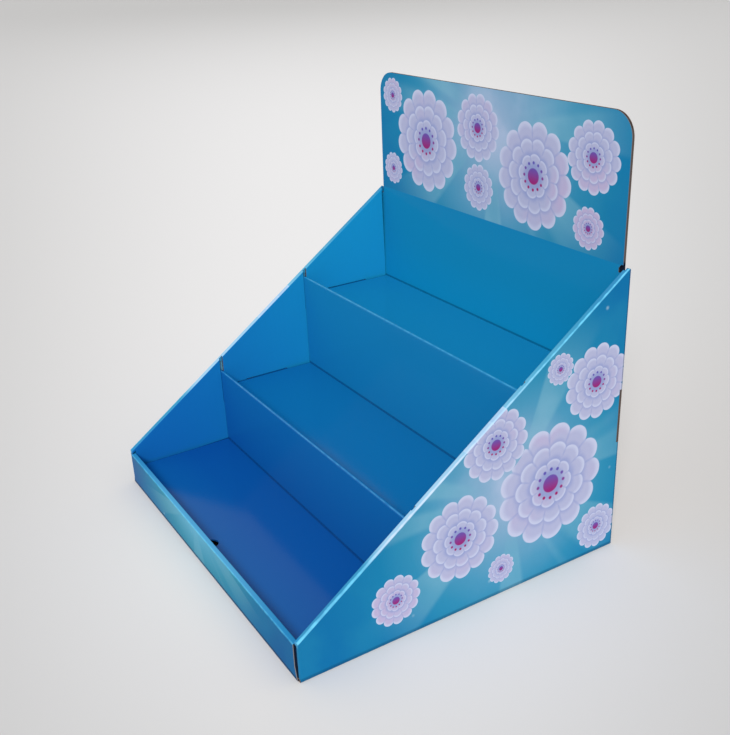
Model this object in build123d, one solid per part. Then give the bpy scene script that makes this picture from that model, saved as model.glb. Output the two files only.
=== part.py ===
from build123d import *
from math import atan, cos
import os

# A counter display stand of printed board, in millimetres: X is its width, -Y its front, Z up,
# and the origin is on the table under its middle. It is folded from three sheets. The tray has
# sloping double sides and a low front lip, all rolled over and locked into the base. The back
# card is the rear wall and the header in one. The insert is one thin sheet with three steps.

# Overall sizes
width = 400.0
lip_height = 36.8
side_front_height = 40.2
side_rear_height = 287.0
header_height = 418.0

# Boards, folds and clearances
board = 2.7
thin_board = 1.6
layer_gap = 0.2
crease_radius = 1.3
fold_radius = 1.6
thin_fold_radius = 0.85
fit = 0.3
touch = 0.01

# Sides of the tray
side_setback = 1.5
side_corner_radius = 1.6
band_gap = 1.9
inner_gap_low = 0.6
inner_gap_high = 2.4
inner_taper_start = 193.0
crease_notch_depth = 2.0
side_lock_length = 42.0
side_lock_places = (-112.0, -8.0, 98.0)

# Front lip of the tray
lip_end_gap = 1.0
lip_foot_gap = 0.8
lip_taper_height = 14.0
lip_lock_length = 60.0

# Back card
header_end_gap = 1.1
header_corner_radius = 22.0
shoulder_top = 279.0
nick_width = 5.2
nick_depth = 1.9
nick_low = 280.0
nick_high = 287.0
card_ear_low = 115.0
card_ear_high = 169.0
shoulder_foot = 12.0
flange_length = 40.0

# Insert
insert_end_gap = 0.5
shelf_depth = 111.8
rear_shelf_depth = 110.5
floor_tops = (21.3, 89.1, 176.4)
wall_tops = (108.0, 197.5)
ear_height = 40.0
ear_reach = 2.5
tab_start = 39.0
tab_length = 39.0
slot_lead = 11.5
slot_tail = 2.5
edge_relief = 2.0
front_relief_length = 75.0
front_relief_fade = 36.0
thumb_radius = 7.2
thumb_reach = 12.6
thumb_drop = 4.0

# Depth of the stand, from its lip over the shelves and walls to its back
double_wall = 2 * thin_board + layer_gap
shelves_depth = 2 * (shelf_depth + double_wall) + rear_shelf_depth
depth = 2 * board + layer_gap + shelves_depth + board

# Planes that the sheets share
half = width / 2
front = -depth / 2
rear = depth / 2
outer_face = half - board
inner_back = outer_face - layer_gap
inner_face = inner_back - board
slot_end = outer_face - layer_gap / 2
side_front = front + side_setback
lip_inner_front = front + board + layer_gap
lip_back = lip_inner_front + board
card_front = rear - board
header_half = inner_face - header_end_gap
panel_low = board + layer_gap
slope = (side_rear_height - side_front_height) / (rear - side_front)
band_drop = board / cos(atan(slope))

# Places of the insert's edges and walls
insert_half = inner_face - insert_end_gap
insert_front = lip_back + layer_gap
insert_rear = card_front - fit
first_wall = lip_back + shelf_depth
second_wall = first_wall + double_wall + shelf_depth
wall_fronts = (first_wall, second_wall)


def side_top(y):
    """Height of the sloping top of a side at y."""
    return side_front_height + slope * (y - side_front)


def block(x, y, z):
    """Block between a low and a high limit along each axis."""
    middle = Pos((x[0] + x[1]) / 2, (y[0] + y[1]) / 2, (z[0] + z[1]) / 2)
    return middle * Box(x[1] - x[0], y[1] - y[0], z[1] - z[0])


def outline_face(outline, rounding=None):
    """Flat face inside an outline, with the corners named in rounding made round."""
    radii = [(rounding or {}).get(corner, 0) for corner in range(len(outline))]
    return make_face(FilletPolyline(*outline, radius=radii, close=True))


def side_plate(outline, low, high, rounding=None):
    """Plate cut to an outline of (y, z) points, from x = low to x = high."""
    return extrude(Plane.YZ.offset(low) * outline_face(outline, rounding), amount=high - low)


def cross_plate(outline, low, high, rounding=None):
    """Plate cut to an outline of (x, z) points, from y = low to y = high."""
    return extrude(Plane.XZ.offset(-high) * outline_face(outline, rounding), amount=high - low)


def mirrored(piece):
    """A right-hand detail together with its left-hand twin."""
    return piece + mirror(piece, about=Plane.YZ)


def tab_run(wall_front):
    """Front and rear of the floor tab behind a wall of the insert."""
    start = wall_front + double_wall + tab_start
    return start, start + tab_length


def slot_run(wall_front):
    """Front and rear of the slot for that floor tab, which is longer than the tab."""
    start, end = tab_run(wall_front)
    return start - slot_lead, end + slot_tail


def make_base():
    """Bottom panel, with slots for the lock tabs and relief where two folds meet in a corner."""
    through = (-fit, board + fit)
    base = block((-half, half), (front, rear), (0, board))
    corner = (outer_face - lip_foot_gap, half + fit)
    base -= mirrored(block(corner, (front - fit, side_front), through))
    for place in side_lock_places:
        run = (place - side_lock_length / 2 - fit, place + side_lock_length / 2 + fit)
        base -= mirrored(block((inner_face - fit, outer_face), run, through))
    reach = lip_lock_length / 2 + fit
    return base - block((-reach, reach), (front + board, lip_back + fit), through)


def make_lip():
    """Front lip: outer panel with tapered ends, top band, and inner panel with a lock tab."""
    end = inner_face - lip_end_gap
    foot = outer_face - lip_foot_gap
    profile = [
        (front, 0),
        (front, lip_height),
        (lip_back, lip_height),
        (lip_back, panel_low),
        (lip_inner_front, panel_low),
        (lip_inner_front, lip_height - board),
        (front + board, lip_height - board),
        (front + board, 0),
    ]
    lip = side_plate(profile, -end, end, {1: crease_radius, 2: crease_radius})
    taper = [(end, 0), (foot, 0), (end, lip_taper_height)]
    lip += mirrored(cross_plate(taper, front, front + board))
    reach = lip_lock_length / 2
    return lip + block((-reach, reach), (lip_inner_front, lip_back), (fit, panel_low))


def sloping_band():
    """Right-hand sloping top band, which ends just before the card."""
    end = card_front - band_gap
    outline = [
        (side_front, side_top(side_front) - band_drop),
        (side_front, side_top(side_front)),
        (end, side_top(end)),
        (end, side_top(end) - band_drop),
    ]
    return side_plate(outline, inner_face, half)


def inner_panel():
    """Right-hand inner panel, whose rear edge leans away from the card."""
    low_rear = card_front - inner_gap_low
    high_rear = card_front - inner_gap_high
    outline = [
        (lip_back + fit, panel_low),
        (lip_back + fit, side_top(lip_back + fit)),
        (high_rear, side_top(high_rear)),
        (low_rear, inner_taper_start),
        (low_rear, panel_low),
    ]
    return side_plate(outline, inner_face, inner_back)


def long_creases(side):
    """Creases of a right-hand side, along the outside and the inside of its sloping band."""
    found = []
    for edge in side.edges():
        sloping = all(abs(end.Z - side_top(end.Y)) < touch for end in (edge @ 0, edge @ 1))
        at_face = min(abs(edge.center().X - x) for x in (half, inner_face)) < touch
        if sloping and at_face:
            found.append(edge)
    return found


def side_locks():
    """Lock tabs of the right-hand inner panel, which sit in the base."""
    reach = side_lock_length / 2
    runs = [(place - reach, place + reach) for place in side_lock_places]
    return [block((inner_face, inner_back), run, (fit, panel_low)) for run in runs]


def ear_slots():
    """Slots of the right-hand inner panel for the wall ears, each with a notch in the crease."""
    cuts = []
    for wall_front, wall_top in zip(wall_fronts, wall_tops):
        run = (wall_front - fit, wall_front + double_wall + fit)
        band_low = side_top(run[0]) - band_drop
        cuts.append(block((inner_face - fit, slot_end), run, (wall_top - ear_height - fit, band_low)))
        notch = (inner_face - fit, inner_face + crease_notch_depth)
        cuts.append(block(notch, run, (band_low - fit, side_top(run[1]) + fit)))
    return cuts


def tab_slots():
    """Slots of the right-hand inner panel for the floor tabs."""
    cuts = []
    for wall_front, floor_top in zip(wall_fronts, floor_tops[1:]):
        z = (floor_top - thin_board - fit, floor_top + fit)
        cuts.append(block((inner_face - fit, slot_end), slot_run(wall_front), z))
    return cuts


def card_notch():
    """Open notch in the rear edge of the right-hand outer panel, which takes the card's ear."""
    z = (card_ear_low - fit, card_ear_high + fit)
    return block((slot_end, half + fit), (card_front - fit, rear + fit), z)


def make_side():
    """Right-hand side: outer panel, sloping band and inner panel rolled over as one sheet."""
    outline = [
        (side_front, 0),
        (side_front, side_front_height),
        (rear, side_rear_height),
        (rear, 0),
    ]
    side = side_plate(outline, outer_face, half) + sloping_band() + inner_panel()
    side = fillet(long_creases(side), crease_radius)
    side &= side_plate(outline, inner_face, half, {2: side_corner_radius})
    return side - ear_slots() - tab_slots() - card_notch() + side_locks()


def rounded_space():
    """Space that the tray keeps to, round along its three bottom folds."""
    space = block((-half, half), (front, rear), (0, side_rear_height))
    low_edges = space.edges().group_by(Axis.Z)[0]
    front_edge = low_edges.filter_by(Axis.X).sort_by(Axis.Y)[0]
    return fillet(low_edges.filter_by(Axis.Y) + [front_edge], fold_radius)


def make_tray():
    """The tray, one sheet: base, front lip and both sides."""
    tray = make_base() + make_lip() + mirrored(make_side())
    return tray & rounded_space()


def corner_nick():
    """Nick above the right-hand side, where the front of the header's edge is torn away."""
    x = (header_half - nick_width, header_half + fit)
    return block(x, (card_front - fit, card_front + nick_depth), (nick_low, nick_high))


def make_card():
    """The back card, one sheet: rear wall, header, ears, and a flange glued on the base."""
    right = [
        (header_half, board),
        (header_half, shoulder_foot),
        (inner_back, shoulder_foot),
        (inner_back, card_ear_low),
        (half, card_ear_low),
        (half, card_ear_high),
        (inner_back, card_ear_high),
        (inner_back, shoulder_top),
        (header_half, shoulder_top),
        (header_half, header_height),
    ]
    left = [(-x, z) for x, z in reversed(right)]
    rounding = {len(right) - 1: header_corner_radius, len(right): header_corner_radius}
    card = cross_plate(right + left, card_front, rear, rounding)
    card += block((-header_half, header_half), (card_front - flange_length, rear), (board, 2 * board))
    card -= corner_nick()
    lowest = card.edges().filter_by(Axis.X).group_by(Axis.Z)[0]
    return fillet(lowest.group_by(Axis.Y)[-1], fold_radius)


def insert_profile():
    """Section of the insert's board: front leg, steps with folded-over walls, and rear leg."""
    middle = thin_board / 2
    y = insert_front + middle
    line = [(y, board)]
    for floor_top, wall_front, wall_top in zip(floor_tops, wall_fronts, wall_tops):
        rise = wall_front + middle
        fall = rise + thin_board + layer_gap
        line += [(y, floor_top - middle), (rise, floor_top - middle)]
        line += [(rise, wall_top - middle), (fall, wall_top - middle)]
        y = fall
    leg = insert_rear - middle
    line += [(y, floor_tops[-1] - middle), (leg, floor_tops[-1] - middle), (leg, 2 * board)]
    return trace(FilletPolyline(*line, radius=thin_fold_radius), thin_board)


def insert_run(reach):
    """The insert's section run across the stand, out to x = reach on both sides."""
    return extrude(Plane.YZ.offset(-reach) * insert_profile(), amount=2 * reach)


def ear_and_tab_windows():
    """Where the insert's board reaches past its side edges, as ears and tabs."""
    x = (-half, half)
    windows = []
    for wall_front, wall_top, floor_top in zip(wall_fronts, wall_tops, floor_tops[1:]):
        ear_run = (wall_front, wall_front + double_wall)
        windows.append(block(x, ear_run, (wall_top - ear_height, wall_top)))
        windows.append(block(x, tab_run(wall_front), (floor_top - thin_board, floor_top)))
    return windows


def edge_reliefs():
    """Strips that the die takes off the right-hand edges of the floors."""
    x = (insert_half - edge_relief, insert_half + fit)
    fade_start = insert_front + front_relief_length
    plan = [
        (x[1], insert_front - fit),
        (x[0], insert_front - fit),
        (x[0], fade_start),
        (insert_half, fade_start + front_relief_fade),
        (x[1], fade_start + front_relief_fade),
    ]
    low = Plane.XY.offset(floor_tops[0] - thin_board - fit)
    strips = [extrude(low * outline_face(plan), amount=thin_board + 2 * fit)]
    ends = (second_wall, insert_rear - thin_board)
    for wall_front, floor_top, end in zip(wall_fronts, floor_tops[1:], ends):
        run = (slot_run(wall_front)[1], end)
        strips.append(block(x, run, (floor_top - thin_board - fit, floor_top + fit)))
    return strips


def thumb_cut():
    """Round-ended cut through the front edge of the lowest floor, to lift the insert out by."""
    z = (floor_tops[0] - thumb_drop, floor_tops[0] + fit)
    centre = insert_front + thumb_reach - thumb_radius
    end = Pos(0, centre, (z[0] + z[1]) / 2) * Cylinder(thumb_radius, z[1] - z[0])
    return end + block((-thumb_radius, thumb_radius), (insert_front - fit, centre), z)


def make_insert():
    """The insert, one thin sheet with three floors, two double walls and two legs."""
    wide = insert_run(insert_half + ear_reach)
    insert = insert_run(insert_half)
    for window in ear_and_tab_windows():
        insert += wide & window
    for strip in edge_reliefs():
        insert -= mirrored(strip)
    return insert - thumb_cut()


os.makedirs("parts", exist_ok=True)
export_step(make_tray(), "parts/outer_tray.step")
export_step(make_card(), "parts/back_card.step")
export_step(make_insert(), "parts/tier_insert.step")
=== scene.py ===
import math

import bmesh
import bpy
from mathutils import Matrix, Vector


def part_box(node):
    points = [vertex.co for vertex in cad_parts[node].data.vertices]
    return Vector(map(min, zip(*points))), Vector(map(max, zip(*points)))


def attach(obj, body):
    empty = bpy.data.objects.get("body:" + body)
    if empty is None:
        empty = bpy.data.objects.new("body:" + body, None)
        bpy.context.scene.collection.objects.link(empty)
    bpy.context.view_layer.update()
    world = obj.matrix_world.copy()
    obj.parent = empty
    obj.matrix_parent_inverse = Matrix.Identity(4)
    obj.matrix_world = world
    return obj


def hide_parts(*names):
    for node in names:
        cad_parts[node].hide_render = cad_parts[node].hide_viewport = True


# The looks of a counter display stand of printed corrugated board: glossy blue print, a pale
# sunburst with round flowers on the header and the sides, and raw brown board at every cut edge.
# All lengths are in metres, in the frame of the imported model: X is the width, -Y the front, Z up.

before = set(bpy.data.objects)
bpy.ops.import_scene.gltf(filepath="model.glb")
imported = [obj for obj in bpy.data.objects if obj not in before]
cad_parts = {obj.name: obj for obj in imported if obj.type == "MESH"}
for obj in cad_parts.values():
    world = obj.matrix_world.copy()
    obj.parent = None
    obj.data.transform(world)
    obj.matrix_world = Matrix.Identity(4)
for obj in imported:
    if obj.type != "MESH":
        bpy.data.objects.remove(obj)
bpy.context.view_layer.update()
mm = 0.001

# Boards of the three sheets, the papers of the heavier one, and the steps that draw each flute
board = 2.7 * mm
thin_board = 1.6 * mm
layer_gap = 0.2 * mm
flute_pitch = 6.4 * mm
thin_flute_pitch = 3.2 * mm
liner_thickness = 0.35 * mm
medium_thickness = 0.25 * mm
flute_steps = 12

# Tray
tray_low, tray_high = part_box("outer_tray")
half = tray_high.x
outer_face = half - board
inner_face = outer_face - layer_gap - board
front = tray_low.y
rear = tray_high.y
lip_height = 36.8 * mm
lip_back = front + 2 * board + layer_gap
side_front = front + 1.5 * mm
side_front_height = 40.2 * mm
print_wrap = 3.2 * mm

# Each sloping band carries a painted highlight, strongest on a middle stretch where its print is also
# paler; the lip's band is paler in its middle
pale_highlight_start = (-112 * mm, -84 * mm)
pale_highlight_end = (-30 * mm, 116 * mm)
lip_pale_half = 60 * mm
lip_blue_half = 190 * mm

# Back card
card_low, card_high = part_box("back_card")
card_front = rear - board
card_bend = 1.6 * mm
header_half = inner_face - 1.1 * mm
header_radius = 22 * mm
header_print_foot = 286.5 * mm
shoulder_half = outer_face - layer_gap
shoulder_foot = 12 * mm
shoulder_top = 279 * mm
ear_low = 115 * mm
ear_high = 169 * mm

# Torn nick beside the right shoulder, in steps of (from, to, low, high), and the painted shade behind it
tear = [
    (188.1 * mm, 189.3 * mm, 279.4 * mm, 284.2 * mm),
    (189.3 * mm, 190.6 * mm, 279.4 * mm, 286.0 * mm),
    (190.6 * mm, 193.3 * mm, 280.2 * mm, 287.0 * mm),
]
tear_middle = 283.5 * mm
tear_reach = 4 * mm

# Insert
insert_low, insert_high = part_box("tier_insert")
insert_half = inner_face - 0.5 * mm
shelf_depth = 111.8 * mm
first_wall = lip_back + shelf_depth
second_wall = first_wall + 2 * thin_board + layer_gap + shelf_depth
floor_tops = (21.3 * mm, 89.1 * mm, 176.4 * mm)
wall_tops = (108.0 * mm, 197.5 * mm)

# Way back and up over which the insert's blue pales
climb = 520 * mm

# Glow of the print on each sheet, as its centre and reach. The lip's is drawn out sideways.
side_glow = ((46 * mm, 104 * mm), 200 * mm)
header_glow = ((10 * mm, 384 * mm), 236 * mm)
lip_glow = ((-5 * mm, 52 * mm), 95 * mm)
lip_glow_squeeze = 0.49
ray_strength = 0.42
lip_ray_strength = 0.2
sparkle_gap = 26 * mm
lip_sparkle_gap = 20 * mm

# Flowers of the print, as (across, up, radius)
side_flowers = [
    (92 * mm, 98 * mm, 60 * mm),
    (-10 * mm, 78 * mm, 42 * mm),
    (28 * mm, 158 * mm, 35 * mm),
    (142 * mm, 186 * mm, 37 * mm),
    (152 * mm, 30 * mm, 24 * mm),
    (-78 * mm, 42 * mm, 25 * mm),
    (36 * mm, 28 * mm, 15 * mm),
    (98 * mm, 210 * mm, 15 * mm),
]
header_flowers = [
    (-104 * mm, 352 * mm, 55 * mm),
    (-14 * mm, 378 * mm, 34 * mm),
    (72 * mm, 344 * mm, 52 * mm),
    (150 * mm, 374 * mm, 33 * mm),
    (-168 * mm, 394 * mm, 19 * mm),
    (-12 * mm, 318 * mm, 24 * mm),
    (-170 * mm, 312 * mm, 18 * mm),
    (148 * mm, 310 * mm, 20 * mm),
]

# Camera of the photograph, 730 by 735 pixels
camera_azimuth = 59.273
camera_elevation = 24.059
camera_roll = -2.527
camera_distance = 936.23 * mm
camera_target = Vector((34.24 * mm, 0, 178.63 * mm))
camera_lens = 47.577

# Floor, with a painted pool of light round the stand that widens away from the camera
floor_half = 20.0
pool_near = (-0.75, -0.02)
pool_far = (9.0, 1.5)
pool_apex = 1.2
pool_widening = (0.54, 0.02)

# Light
world_level = 0.58
key_azimuth = 50.0
key_elevation = 38.0
key_strength = 2.15
key_spread = 20.0


def ink(red, green, blue):
    """Colour written as it looks on paper, from 0 to 255, as the linear colour of a shader."""
    levels = []
    for share in (red / 255, green / 255, blue / 255):
        levels.append(share / 12.92 if share < 0.04045 else ((share + 0.055) / 1.055) ** 2.4)
    return (*levels, 1.0)


# Inks
panel_blue_front = ink(20, 110, 186)
panel_blue_rear = ink(26, 154, 205)
lip_band_blue = ink(44, 138, 194)
lip_band_pale = ink(84, 168, 214)
band_pale_highlight = ink(170, 212, 240)
ray_tint = ink(136, 190, 208)
teal_tint = ink(42, 142, 178)
sparkle_tint = ink(190, 220, 232)
flower_lilac = ink(178, 182, 214)
flower_blush = ink(196, 172, 208)
flower_rim = ink(198, 204, 230)
flower_shade = ink(148, 158, 204)
heart_magenta = ink(160, 26, 100)
heart_violet = ink(96, 88, 176)

# Painted highlights on the folds, and painted shade at the folds, the foot, the corners and the cut edges
fold_glint = ink(120, 216, 250)
fold_glint_pale = ink(208, 222, 244)
fold_shade = ink(6, 52, 108)
low_shade = ink(12, 50, 86)
corner_shade = ink(26, 34, 52)

# Papers and cut board, with painted shade in the flute hollows of the cut edges
kraft = ink(178, 150, 122)
kraft_dark = ink(150, 124, 98)
kraft_shade = ink(134, 108, 84)
liner = ink(134, 118, 108)
flute_hollow_shade = ink(76, 66, 64)
flute_brown = ink(126, 106, 92)
flute_dark = ink(94, 83, 79)
lip_edge_paper = ink(146, 142, 144)
thin_edge = ink(74, 74, 88)

# Floor
floor_grey = ink(199, 198, 197)
floor_white = ink(238, 237, 237)

glow_stops = [
    (0.00, ink(184, 196, 224)),
    (0.26, ink(128, 172, 202)),
    (0.42, ink(86, 155, 190)),
    (0.55, ink(52, 141, 180)),
    (0.70, ink(28, 127, 173)),
    (1.00, ink(20, 113, 168)),
]
lip_stops = [
    (0.00, ink(118, 192, 222)),
    (0.30, ink(80, 160, 188)),
    (0.50, ink(46, 138, 166)),
    (0.75, ink(10, 110, 156)),
    (1.00, ink(2, 90, 148)),
]
floor_stops = [
    (0.04, ink(12, 94, 166)),
    (0.16, ink(10, 84, 161)),
    (0.26, ink(10, 86, 162)),
    (0.40, ink(12, 108, 172)),
    (0.60, ink(14, 113, 172)),
    (0.78, ink(18, 128, 180)),
    (1.00, ink(20, 132, 182)),
]
# The insert's walls are inked lighter than its floors, as painted light that makes up for the lesser
# light on them
wall_stops = [
    (0.26, ink(14, 95, 169)),
    (0.42, ink(16, 102, 172)),
    (0.60, ink(20, 127, 185)),
    (0.82, ink(22, 126, 183)),
]
back_stops = [
    (0.00, ink(16, 148, 198)),
    (0.50, ink(20, 138, 187)),
    (1.00, ink(20, 132, 183)),
]


class Value:
    """A number that varies over a surface. Arithmetic with it adds Math nodes."""

    def __init__(self, finish, socket):
        self.finish = finish
        self.socket = socket

    def math(self, operation, *terms):
        """A Math node on numbers or links."""
        return self.finish.node("ShaderNodeMath", {"operation": operation}, dict(enumerate(terms)))

    def __add__(self, other):
        return self.math("ADD", self, other)

    def __sub__(self, other):
        return self.math("SUBTRACT", self, other)

    def __rsub__(self, other):
        return self.math("SUBTRACT", other, self)

    def __mul__(self, other):
        return self.math("MULTIPLY", self, other)

    def __truediv__(self, other):
        return self.math("DIVIDE", self, other)

    def __pow__(self, other):
        return self.math("POWER", self, other)

    def __abs__(self):
        return self.math("ABSOLUTE", self)

    def sine(self):
        return self.math("SINE", self)

    def larger(self, other):
        return self.math("MAXIMUM", self, other)

    def rise(self, low, high):
        """0 up to low, 1 from high, and a smooth change between. It falls where low is above high."""
        limits = {"Value": self, "From Min": low, "From Max": high}
        return self.finish.node("ShaderNodeMapRange", {"interpolation_type": "SMOOTHSTEP"}, limits)

    def near(self, place, reach):
        """1 within reach of a place, falling to 0 at twice that reach."""
        return 1 - abs(self - place).rise(reach, 2 * reach)


class Finish:
    """A material in the making, with the place and the direction of its surface at hand."""

    def __init__(self, name):
        self.material = bpy.data.materials.new(name)
        self.material.use_nodes = True
        self.nodes = self.material.node_tree.nodes
        self.links = self.material.node_tree.links
        self.shader = self.nodes["Principled BSDF"]
        self.place = self.node("ShaderNodeTexCoord", {}, {}, "Object")
        self.x, self.y, self.z = self.parts(self.place)
        self.side = abs(self.x)
        facing = self.node("ShaderNodeTexCoord", {}, {}, "Normal")
        self.facing_x, self.facing_y, self.facing_z = self.parts(facing)

    def feed(self, socket, value):
        """Give a socket a link, or a number or colour of its own."""
        if isinstance(value, Value):
            self.links.new(value.socket, socket)
        else:
            socket.default_value = value

    def node(self, kind, settings, inputs, output=0):
        """A new node: its settings first, then its inputs as numbers, colours or links."""
        node = self.nodes.new(kind)
        for name, value in settings.items():
            setattr(node, name, value)
        for name, value in inputs.items():
            self.feed(node.inputs[name], value)
        return Value(self, node.outputs[output])

    def parts(self, vector):
        """The three numbers of a vector."""
        first = self.node("ShaderNodeSeparateXYZ", {}, {0: vector})
        return [Value(self, output) for output in first.socket.node.outputs]

    def mix(self, share, below, over):
        """A colour laid over another by a share from 0 to 1."""
        inputs = {"Factor": share, 6: below, 7: over}
        return self.node("ShaderNodeMix", {"data_type": "RGBA"}, inputs, 2)

    def ramp(self, share, stops):
        """A colour that changes along stops of (place, colour)."""
        result = self.node("ShaderNodeValToRGB", {}, {0: share})
        elements = result.socket.node.color_ramp.elements
        elements[0].position, elements[0].color = stops[0]
        elements[1].position, elements[1].color = stops[-1]
        for place, colour in stops[1:-1]:
            elements.new(place).color = colour
        return result

    def noise(self, scale, detail=2.0, stretch=(1, 1, 1)):
        """Soft random mottling, with about scale patches to the metre."""
        place = self.vector("MULTIPLY", self.place, stretch)
        return self.node("ShaderNodeTexNoise", {}, {"Vector": place, "Scale": scale, "Detail": detail})

    def vector(self, operation, *terms, output=0):
        """Vector Math on vectors."""
        return self.node("ShaderNodeVectorMath", {"operation": operation}, dict(enumerate(terms)), output)

    def choose(self, share, below, over):
        """One of two vectors, by a share that is 0 or 1."""
        inputs = {"Factor": share, 4: below, 5: over}
        return self.node("ShaderNodeMix", {"data_type": "VECTOR"}, inputs, 1)

    def sheet(self, u, v):
        """A place on a flat sheet, as a vector of two lengths."""
        return self.node("ShaderNodeCombineXYZ", {}, {0: u, 1: v})

    def polar(self, place):
        """Distance and direction of a place on a sheet from the sheet's origin."""
        across, upward, _ = self.parts(place)
        return self.vector("LENGTH", place, output=1), across.math("ARCTAN2", upward, across)

    def laminate(self, colour, bare, along, pitch, depth, shine):
        """Glossy film over the print, with faint waves over the flutes, and matt bare paper."""
        waves = (along * (math.tau / pitch)).sine() * 0.5
        height = waves + self.noise(420) * 0.3
        bump = {"Strength": 1.0, "Distance": depth, "Height": height}
        film_roughness = self.noise(24) * 0.07 + 0.1
        paper_roughness = 0.85
        roughness = film_roughness * (1 - bare) + bare * paper_roughness
        self.feed(self.shader.inputs["Base Color"], colour)
        self.feed(self.shader.inputs["Roughness"], roughness)
        self.feed(self.shader.inputs["Normal"], self.node("ShaderNodeBump", {}, bump))
        self.shader.inputs["Specular IOR Level"].default_value = shine
        return self.material


def square(facing):
    """Whether a surface faces straight along one axis, either way."""
    return abs(facing).rise(0.85, 0.95)


def sunburst(f, place, centre, reach, stops, strength):
    """Pale glow that falls to deep blue, crossed by soft rays of uneven width, and mottled."""
    distance, angle = f.polar(f.vector("SUBTRACT", place, (*centre, 0)))
    colour = f.ramp(distance / reach, stops)
    waves = (angle * 7).sine() + (angle * 12 + 1.1).sine() * 0.7 + (angle * 23).sine() * 0.25
    rays = waves.rise(0.0, 0.7) * distance.rise(0.12 * reach, 0.4 * reach)
    rays = rays * (1 - distance.rise(0.45 * reach, 0.9 * reach))
    colour = f.mix(rays * strength, colour, ray_tint)
    mottle = f.noise(17, 3.0).rise(0.4, 0.65)
    mottle_strength = 0.7 * strength
    return f.mix(mottle * mottle_strength, colour, teal_tint)


def sparkles(f, colour, gap):
    """Small pale dots of light, scattered over the sheet about a gap apart."""
    share, strength = 0.3, 0.55
    cells = {"Vector": f.place, "Scale": 1 / gap}
    distance = f.node("ShaderNodeTexVoronoi", {}, cells)
    lot = f.node("ShaderNodeTexVoronoi", {}, cells, "Color")
    chosen = f.parts(lot)[0].rise(1 - share, 1 - share + 0.02)
    return f.mix(distance.rise(0.11, 0.01) * chosen * strength, colour, sparkle_tint)


def flower_sheet(f, place, flowers):
    """Place from the middle of the flower that it lies in, with the flower's radius as 1."""
    far_away = (9.0, 9.0, 0.0)
    own = far_away
    for across, upward, radius in flowers:
        scale = (1 / radius, 1 / radius, 1)
        shift = (-across / radius, -upward / radius, 0)
        new = f.vector("MULTIPLY_ADD", place, scale, shift)
        length = f.vector("LENGTH", new, output=1)
        own = f.choose(length.math("LESS_THAN", length, 1.0), own, new)
    return own


def blossoms(f, colour, place, flowers):
    """Round blossoms of three rings of petals, with a magenta heart and a ring of dots."""
    own = flower_sheet(f, place, flowers)
    distance, angle = f.polar(own)
    upward = f.parts(own)[1]
    lilac = f.mix(f.noise(14).rise(0.45, 0.65) * 0.5, flower_lilac, flower_blush)
    blur = 0.012
    for size, petals in ((1.0, 13), (0.69, 11), (0.41, 8)):
        lobes = abs((angle * (petals / 2) + size * 5).sine()) ** 0.6
        edge = (lobes * 0.15 + 0.85) * size
        shadow = 0.0 if size == 1.0 else 0.5
        colour = f.mix((distance - edge).rise(0.09, 0.0) * shadow, colour, flower_shade)
        petal = f.mix((distance / edge).rise(0.5, 0.8), flower_shade, lilac)
        petal = f.mix((distance / edge).rise(0.86, 1.0), petal, flower_rim)
        crease = (1 - lobes.rise(0.12, 0.5)) * distance.rise(0.55 * size, 0.75 * size)
        petal = f.mix(crease * 0.6, petal, flower_shade)
        colour = f.mix((distance - edge).rise(blur, -blur), colour, petal)

    # Heart, and a ring of dots round it
    heart_radius, ring_radius, dot_radius, dots = 0.15, 0.25, 0.028, 12
    turn = angle * (dots / math.tau)
    sideways = (turn - turn.math("ROUND", turn)) * distance * (math.tau / dots)
    outward = distance - ring_radius
    from_dot = (sideways * sideways + outward * outward) ** 0.5
    marks = (distance - heart_radius).rise(blur, -blur).larger((from_dot - dot_radius).rise(blur, -blur))
    return f.mix(marks, colour, f.mix(upward.rise(-0.25, 0.25), heart_magenta, heart_violet))


def cut_edge(f, across_board, along):
    """Cut edge of the board: two papers with a wavy one between them, the hollows beside it in painted
    shade.
    """
    wave = (along * (math.tau / flute_pitch)).sine() * 0.34 + 0.5
    colour = f.mix(abs(across_board - wave).rise(0.09, 0.05), flute_hollow_shade, flute_brown)
    papers = abs(across_board - 0.5).rise(0.36, 0.42)
    return f.mix(papers, colour, liner)


def bare_paper(f, pitch, along):
    """Brown paper with fibres, and faint lines over the flutes."""
    fibres = f.noise(900, 3.0, (1, 1, 0.15))
    lines = (along * (math.tau / pitch)).sine().rise(0.1, 1.0)
    patches = f.noise(9, 3.0).rise(0.35, 0.65) * 0.35
    colour = f.mix(fibres.rise(0.3, 0.75) * 0.6 + patches, kraft_dark, kraft)
    return f.mix(lines * (patches + 0.25), colour, kraft_shade)


def side_print(f):
    """Print of the tray's sides."""
    sheet = f.sheet(f.y, f.z)
    colour = sunburst(f, sheet, *side_glow, glow_stops, ray_strength)
    return blossoms(f, sparkles(f, colour, sparkle_gap), sheet, side_flowers)


def lip_print(f):
    """Print of the lip's front."""
    sheet = f.sheet(f.x * lip_glow_squeeze, f.z)
    colour = sunburst(f, sheet, *lip_glow, lip_stops, lip_ray_strength)
    return sparkles(f, colour, lip_sparkle_gap)


def header_print(f):
    """Print of the header."""
    sheet = f.sheet(f.x, f.z)
    colour = sunburst(f, sheet, *header_glow, glow_stops, ray_strength)
    return blossoms(f, sparkles(f, colour, sparkle_gap), sheet, header_flowers)


def lip_band(f, colour):
    """Top band of the lip, paler in its middle."""
    top = f.facing_z.rise(0.5, 0.9) * f.z.rise(lip_height - 1.2 * mm, lip_height - 0.8 * mm)
    top = top * (1 - f.y.rise(lip_back, lip_back + 0.1 * mm))
    towards_ends = f.side.rise(lip_pale_half, lip_blue_half)
    return f.mix(top, colour, f.mix(towards_ends, lip_band_pale, lip_band_blue))


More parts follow.
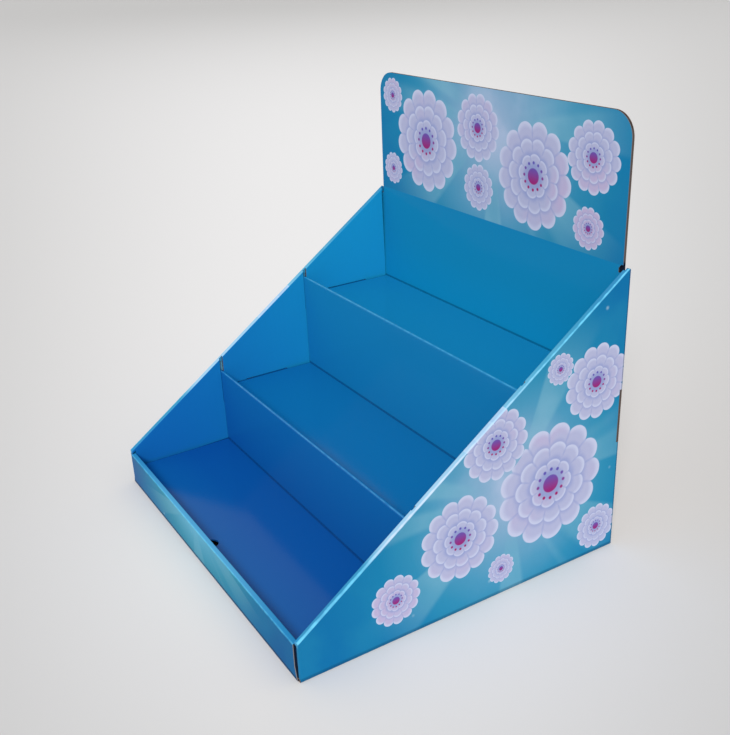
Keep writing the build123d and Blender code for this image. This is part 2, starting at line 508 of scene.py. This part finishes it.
def fold_glints(f, colour, pale):
    """Painted highlight along the rounded folds: the outer one of each sloping band, and the lip's front
    one.
    """
    glint_unevenness = f.noise(110, 5.0).rise(0.3, 0.7)
    wider_below = f.z.rise(180 * mm, 60 * mm) * 1.2
    reach = (wider_below + glint_unevenness * 0.6 + 0.7) * mm
    glint = (f.side - half + reach).rise(-0.5 * mm, 0.5 * mm) * f.facing_z.rise(0.02, 0.3)
    glint = glint * (1 - square(f.facing_y)) * f.z.rise(lip_height, lip_height + 4 * mm)
    # The painted highlight is weaker on the left side, away from the key lamp
    weaker_left = f.x.rise(-half, half) * 0.5 + 0.5
    tint = f.mix(pale, fold_glint, fold_glint_pale)
    colour = f.mix(glint * (glint_unevenness * 0.35 + 0.4) * weaker_left, colour, tint)
    crest = f.z.rise(lip_height - 1.4 * mm, lip_height - 0.8 * mm) * f.facing_y.rise(-0.15, -0.5)
    crest = crest * (1 - f.y.rise(front + 1.4 * mm, front + 1.8 * mm))
    return f.mix(crest * (glint_unevenness * 0.3 + 0.1), colour, fold_glint)


def foot_shade_and_rear_edge(f, colour, outside, at_lip):
    """Print darker at the foot as painted shade, and darker down the rear edge of each side."""
    lip_share, side_share = 0.75, 0.4
    foot = f.z.rise(5.0 * mm, 3.2 * mm) * (at_lip * lip_share).larger(outside * side_share)
    down_rear = f.y.rise(rear - 1.8 * mm, rear - 0.8 * mm) * square(f.facing_x) * outside
    return f.mix(foot.larger(down_rear * 0.5), colour, low_shade)


def in_side(f):
    """Whether a place is in the two layers of a side."""
    return f.side.rise(inner_face - 0.3 * mm, inner_face - 0.1 * mm) * f.z.rise(0.3 * mm, 0.6 * mm)


def side_cuts(f, colour):
    """Cut edges of the sides, with both layers of board, and where they are."""
    behind_lip = f.y.rise(lip_back + 1 * mm, lip_back + 2 * mm)
    level = abs(f.facing_z).rise(0.9, 0.97)
    raw = square(f.facing_y).larger(level) * in_side(f) * behind_lip
    in_outer = f.side.rise(outer_face - layer_gap, outer_face)
    across = (f.side - outer_face) / board * in_outer + (f.side - inner_face) / board * (1 - in_outer)
    return f.mix(raw, colour, cut_edge(f, across, f.y)), raw


def base_cuts(f, colour, at_lip):
    """Cut edges of the base and of its slots, and where they are."""
    in_base = (1 - f.z.rise(board + 0.1 * mm, board + 0.3 * mm)) * (1 - at_lip)
    inside = 1 - f.side.rise(half - 0.6 * mm, half - 0.3 * mm)
    raw = in_base * square(f.facing_y).larger(square(f.facing_x) * inside)
    return f.mix(raw, colour, cut_edge(f, f.z / board, f.y)), raw


def lip_cuts(f, colour):
    """Cut ends of the lip, below its band: a pale paper, then painted shade, and where they are."""
    in_lip = 1 - f.y.rise(lip_back, lip_back + 0.2 * mm)
    inside = 1 - f.side.rise(outer_face - 0.4 * mm, outer_face - 0.2 * mm)
    below_band = f.z.rise(lip_height, lip_height - 0.2 * mm)
    raw = square(f.facing_x) * in_lip * inside * below_band
    papers = ((f.y - front) / board).rise(0.16, 0.34)
    return f.mix(raw, colour, f.mix(papers, lip_edge_paper, corner_shade)), raw


def corner_gap(f, colour, at_lip):
    """Painted shade of the open corner on the front ends of the sides, narrower towards the top."""
    in_front = 1 - f.y.rise(side_front + 0.2 * mm, side_front + 0.4 * mm)
    end = square(f.facing_y) * in_side(f) * in_front * (1 - at_lip)
    gap, narrow_from = 1.8 * mm, 22 * mm
    narrowing = f.z.rise(narrow_from, lip_height) * gap
    dark = (f.side + narrowing).rise(outer_face + 0.2 * mm, outer_face - gap)
    dark = dark * f.z.rise(lip_height, lip_height - 1 * mm)
    return f.mix(end * dark, colour, corner_shade)


def tray_finish():
    """The tray: printed outside and on its bands, blue inside, raw at its cut edges."""
    f = Finish("printed_board")
    in_band = f.side.rise(insert_half, inner_face) * f.z.rise(lip_height, side_front_height)
    band = f.facing_z.rise(0.3, 0.6) * in_band
    outside = f.side.rise(half - print_wrap - 1.2 * mm, half - print_wrap).larger(band)
    at_lip = 1 - f.y.rise(front + 0.6 * mm, front + 0.9 * mm)
    inner = f.mix(f.y.rise(side_front, rear), panel_blue_front, panel_blue_rear)
    colour = f.mix(outside, inner, side_print(f))

    # Bands with a painted highlight over paler print, then the lip, the painted glints on the folds, the
    # painted shade at the foot and the cut edges
    pale = f.y.rise(*pale_highlight_start) * (1 - f.y.rise(*pale_highlight_end))
    # Painted highlight: each band takes a tint of the glint colour, strongest on its middle stretch
    colour = f.mix(band * (pale * 0.6 + 0.18), colour, f.mix(pale, fold_glint, band_pale_highlight))
    colour = lip_band(f, f.mix(at_lip, colour, lip_print(f)))
    colour = fold_glints(f, colour, pale)
    colour = foot_shade_and_rear_edge(f, colour, outside, at_lip)
    colour, raw_side = side_cuts(f, colour)
    colour, raw_base = base_cuts(f, colour, at_lip)
    colour, raw_lip = lip_cuts(f, colour)
    colour = corner_gap(f, colour, at_lip)

    # The inside of the base is bare paper
    base_top = f.facing_z.rise(0.9, 0.97) * f.z.near(board, 0.3 * mm)
    colour = f.mix(base_top, colour, bare_paper(f, flute_pitch, f.y))
    raw = raw_side.larger(raw_lip).larger(raw_base)
    return f.laminate(colour, raw.larger(base_top), f.y, flute_pitch, 0.02 * mm, 0.012)


def card_finish():
    """The back card: plain blue, the printed header, and bare brown paper everywhere else."""
    f = Finish("printed_card")
    floor_top = floor_tops[2]
    colour = f.ramp((f.z - floor_top) / (header_print_foot - floor_top), back_stops)
    on_header = f.z.rise(header_print_foot - 0.3 * mm, header_print_foot + 0.3 * mm)
    colour = f.mix(on_header, colour, header_print(f))
    # Painted shade along the fold where the top floor meets the card
    colour = f.mix(f.z.near(floor_top, 0.8 * mm) * 0.45, colour, fold_shade)
    printed = f.facing_y.rise(-0.5, -0.9) * f.y.rise(card_front + 0.2 * mm, card_front + 0.1 * mm)

    # Bare paper behind, paper ends round the edge, and the darker wavy paper between the liners
    paper = f.mix(abs(f.facing_y).rise(0.3, 0.6), liner, bare_paper(f, flute_pitch, f.x))
    from_middle = abs(f.y - card_front - board / 2)
    under_liner = board / 2 - liner_thickness
    within = from_middle.rise(under_liner + 0.06 * mm, under_liner + 0.02 * mm)
    paper = f.mix(within * f.z.rise(board, 2 * board), paper, flute_dark)
    colour = f.mix(printed, paper, colour)

    # Painted shade inside the torn nick
    deep = f.y.rise(card_front + 0.1 * mm, card_front + 0.3 * mm) * f.facing_y.rise(0.5, 0.3)
    in_tear = f.x.rise(tear[0][0] - 1 * mm, tear[0][0]) * f.z.near(tear_middle, tear_reach)
    colour = f.mix(deep * in_tear, colour, corner_shade)
    return f.laminate(colour, 1 - printed, f.x, flute_pitch, 0.02 * mm, 0.02)


def insert_finish():
    """The insert: blue on top, deeper towards the front, and bare brown below."""
    f = Finish("printed_thin_board")
    along = (f.y - insert_low.y + f.z) / climb
    # Walls take the lighter wall inks, painted light that makes up for the lesser light on them
    colour = f.mix(f.facing_y.rise(-0.3, -0.7), f.ramp(along, floor_stops), f.ramp(along, wall_stops))
    under = f.facing_z.rise(-0.5, -0.8)
    for wall in (first_wall, second_wall, insert_low.y):
        under = under.larger(f.facing_y.rise(0.5, 0.8) * f.y.near(wall + thin_board, 0.4 * mm))
    colour = f.mix(under, colour, bare_paper(f, thin_flute_pitch, f.x))

    # Folds: painted shade at the foot of each wall, a painted highlight along the front of its top
    for wall, floor_top, wall_top in zip((first_wall, second_wall), floor_tops, wall_tops):
        foot = f.y.near(wall, 1.0 * mm) * f.z.near(floor_top, 1.0 * mm)
        colour = f.mix(foot * 0.55, colour, fold_shade)
        crown_highlight = f.z.rise(wall_top - 0.9 * mm, wall_top - 0.6 * mm) * f.facing_y.rise(-0.1, -0.5)
        crown_highlight = crown_highlight * f.y.near(wall, 1.2 * mm) * (f.noise(120, 3.0).rise(0.3, 0.7) * 0.18 + 0.05)
        colour = f.mix(crown_highlight, colour, fold_glint)

    # Painted shade where the floors meet the card and the sides
    last_fold = f.y.rise(insert_high.y - 1.6 * mm, insert_high.y - 0.8 * mm)
    beside = f.side.rise(insert_half - 3.4 * mm, insert_half - 1.8 * mm) * f.facing_z.rise(0.7, 0.9)
    colour = f.mix((last_fold * 0.4).larger(beside * 0.7) * (1 - under), colour, fold_shade)
    raw = square(f.facing_x)
    colour = f.mix(raw, colour, thin_edge)
    return f.laminate(colour, raw.larger(under), f.x, thin_flute_pitch, 0.012 * mm, 0.15)


def header_top(x):
    """Height of the header above one place of its width, lower over its rounded corners."""
    past = abs(x) - (header_half - header_radius)
    if past <= 0:
        return card_high.z
    return card_high.z - header_radius + math.sqrt(max(header_radius ** 2 - past ** 2, 0))


def in_card(x, z, torn):
    """Whether the card reaches one place of its width and height."""
    for start, end, foot, top in tear:
        if torn and start < x < end and foot < z < top:
            return False
    if abs(x) < header_half:
        return True
    if abs(x) < shoulder_half:
        return shoulder_foot < z < shoulder_top
    return ear_low < z < ear_high


def add_paper(mesh, columns, rows, torn, near, far):
    """One paper of the board as a closed skin: two faces, and a wall wherever the paper ends.

    Each row is a place (y, z) in the middle of the board and the way (y, z) to its back face.
    near and far give how far each face lies that way from the middle, at one place of the width.
    """
    spots = {}

    def spot(x, row, offset):
        y, z, lean_y, lean_z = row
        place = (x, y + lean_y * offset, min(z + lean_z * offset, header_top(x)))
        key = tuple(round(part * 1e7) for part in place)
        if key not in spots:
            spots[key] = mesh.verts.new(place)
        return spots[key]

    def add_face(corners):
        kept = list(dict.fromkeys(corners))
        if len(kept) > 2:
            mesh.faces.new(kept)

    edges = {}
    for x0, x1 in zip(columns, columns[1:]):
        for row0, row1 in zip(rows, rows[1:]):
            if not in_card((x0 + x1) / 2, (row0[1] + row1[1]) / 2, torn):
                continue
            ring = [(x0, row0), (x1, row0), (x1, row1), (x0, row1)]
            add_face([spot(x, row, near(x)) for x, row in ring])
            add_face([spot(x, row, far(x)) for x, row in reversed(ring)])
            for start, end in zip(ring, ring[1:] + ring[:1]):
                edges[(start, end)] = True
    for start, end in edges:
        if (end, start) not in edges:
            corners = [spot(*start, near(start[0])), spot(*start, far(start[0]))]
            corners += [spot(*end, far(end[0])), spot(*end, near(end[0]))]
            add_face(corners)


def flat(offset):
    """Face of a flat paper."""
    return lambda x: offset


def wave(offset):
    """Face of the wavy paper between the liners."""
    swing = board / 2 - liner_thickness - medium_thickness / 2
    return lambda x: offset + swing * math.sin(x * math.tau / flute_pitch)


def card_rows():
    """Rows of the card: the flange's front end, the crease and the rounded bend behind it, and the
    heights of the upright plate."""
    middle = card_front + board / 2
    bottom = card_low.z + board / 2
    flange_front = (card_low.y, bottom, 0, -1)
    crease = (middle, bottom, 1, -1)
    bend = []
    for turn in (0, 30, 60, 90):
        across, down = math.sin(math.radians(turn)), math.cos(math.radians(turn))
        shift = card_bend - board / 2
        bend.append((middle - shift * (1 - across), bottom + shift * (1 - down), across, -down))
    heights = {shoulder_foot, ear_low, ear_high, shoulder_top, card_high.z - header_radius, card_high.z}
    heights = sorted(heights.union(*[step[2:] for step in tear]))
    return flange_front, crease, bend, [(middle, z, 1, 0) for z in heights]


def card_columns():
    """Places across the card: its own corners, and those with the steps of the flutes between."""
    corner = header_half - header_radius
    arc = [corner + header_radius * math.sin(math.radians(turn)) for turn in range(0, 91, 6)]
    sides = arc + [shoulder_half, half]
    columns = sorted(set([-x for x in sides] + sides + [step[0] for step in tear]))
    count = int(half / flute_pitch * flute_steps)
    fine = [step * flute_pitch / flute_steps for step in range(-count, count + 1)]
    fine = [x for x in fine if min(abs(x - edge) for edge in columns) > 0.1 * mm]
    return columns, sorted(columns + fine)


def make_fluted_card():
    """The back card in its three papers: two flat liners and the wavy paper between them."""
    flange_front, crease, bend, plate = card_rows()
    columns, fine = card_columns()
    skin = board / 2
    under_skin = skin - liner_thickness
    thick = medium_thickness / 2
    mesh = bmesh.new()
    add_paper(mesh, columns, [flange_front, crease] + plate, True, flat(-skin), flat(-under_skin))
    add_paper(mesh, columns, [flange_front] + bend + plate, False, flat(under_skin), flat(skin))

    # The wavy paper is left out at the fold, where it is crushed
    plate_foot = (crease[0], card_low.z + board, 1, 0)
    flange_rear = (card_front, flange_front[1], 0, -1)
    add_paper(mesh, fine, [plate_foot] + plate, True, wave(-thick), wave(thick))
    add_paper(mesh, fine, [flange_front, flange_rear], False, wave(-thick), wave(thick))
    data = bpy.data.meshes.new("fluted_card")
    mesh.to_mesh(data)
    mesh.free()
    card = bpy.data.objects.new("fluted_card", data)
    bpy.context.scene.collection.objects.link(card)
    data.materials.append(card_finish())
    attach(card, "root")
    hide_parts("back_card")


def dress(node, material):
    """Give a sheet its finish."""
    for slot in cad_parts[node].material_slots:
        slot.material = material


def towards(azimuth, elevation):
    """Direction from the stand towards an azimuth and an elevation, in degrees."""
    turn, tilt = math.radians(azimuth), math.radians(elevation)
    level = math.cos(tilt)
    return Vector((math.sin(turn) * level, -math.cos(turn) * level, math.sin(tilt)))


def place_camera():
    """The camera of the photograph: its longer side is the height."""
    back = towards(camera_azimuth, camera_elevation)
    right = Vector((0, 0, 1)).cross(back).normalized()
    up = back.cross(right)
    roll = math.radians(camera_roll)
    turned_right = right * math.cos(roll) + up * math.sin(roll)
    turned_up = up * math.cos(roll) - right * math.sin(roll)
    data = bpy.data.cameras.new("camera")
    data.lens = camera_lens
    data.sensor_width = 36.0
    data.clip_end = 100.0
    camera = bpy.data.objects.new("camera", data)
    turn = Matrix((turned_right, turned_up, back)).transposed().to_4x4()
    camera.matrix_world = Matrix.Translation(camera_target + back * camera_distance) @ turn
    bpy.context.scene.collection.objects.link(camera)
    bpy.context.scene.camera = camera


def make_floor():
    """A wide pale floor with a painted pool of light, brightest round the stand and behind it."""
    corners = [(-floor_half, -floor_half, 0), (floor_half, -floor_half, 0)]
    corners += [(floor_half, floor_half, 0), (-floor_half, floor_half, 0)]
    mesh = bpy.data.meshes.new("floor")
    mesh.from_pydata(corners, [], [(0, 1, 2, 3)])
    floor = bpy.data.objects.new("floor", mesh)
    bpy.context.scene.collection.objects.link(floor)
    f = Finish("pale_floor")
    azimuth = math.radians(camera_azimuth)
    ahead = f.y * math.cos(azimuth) - f.x * math.sin(azimuth)
    sideways = abs(f.x * math.cos(azimuth) + f.y * math.sin(azimuth))
    pool = ahead.rise(*pool_near) * ahead.rise(*pool_far)
    width = (ahead + pool_apex).larger(0.5)
    pool = pool * (sideways / width).rise(*pool_widening)
    f.feed(f.shader.inputs["Base Color"], f.mix(pool, floor_grey, floor_white))
    f.shader.inputs["Roughness"].default_value = 0.8
    f.shader.inputs["Specular IOR Level"].default_value = 0.1
    mesh.materials.append(f.material)


def light_studio():
    """Even light from a pale room, and a soft high key beside the camera."""
    world = bpy.data.worlds.new("room")
    world.use_nodes = True
    background = world.node_tree.nodes["Background"]
    background.inputs["Color"].default_value = ink(255, 255, 255)
    background.inputs["Strength"].default_value = world_level
    bpy.context.scene.world = world
    data = bpy.data.lights.new("key_lamp", "SUN")
    data.energy = key_strength
    data.angle = math.radians(key_spread)
    lamp = bpy.data.objects.new("key_lamp", data)
    direction = towards(key_azimuth, key_elevation)
    lamp.matrix_world = direction.to_track_quat("Z", "Y").to_matrix().to_4x4()
    bpy.context.scene.collection.objects.link(lamp)


place_camera()
make_floor()
light_studio()
bpy.context.scene.view_settings.view_transform = "Standard"
dress("outer_tray", tray_finish())
make_fluted_card()
dress("tier_insert", insert_finish())
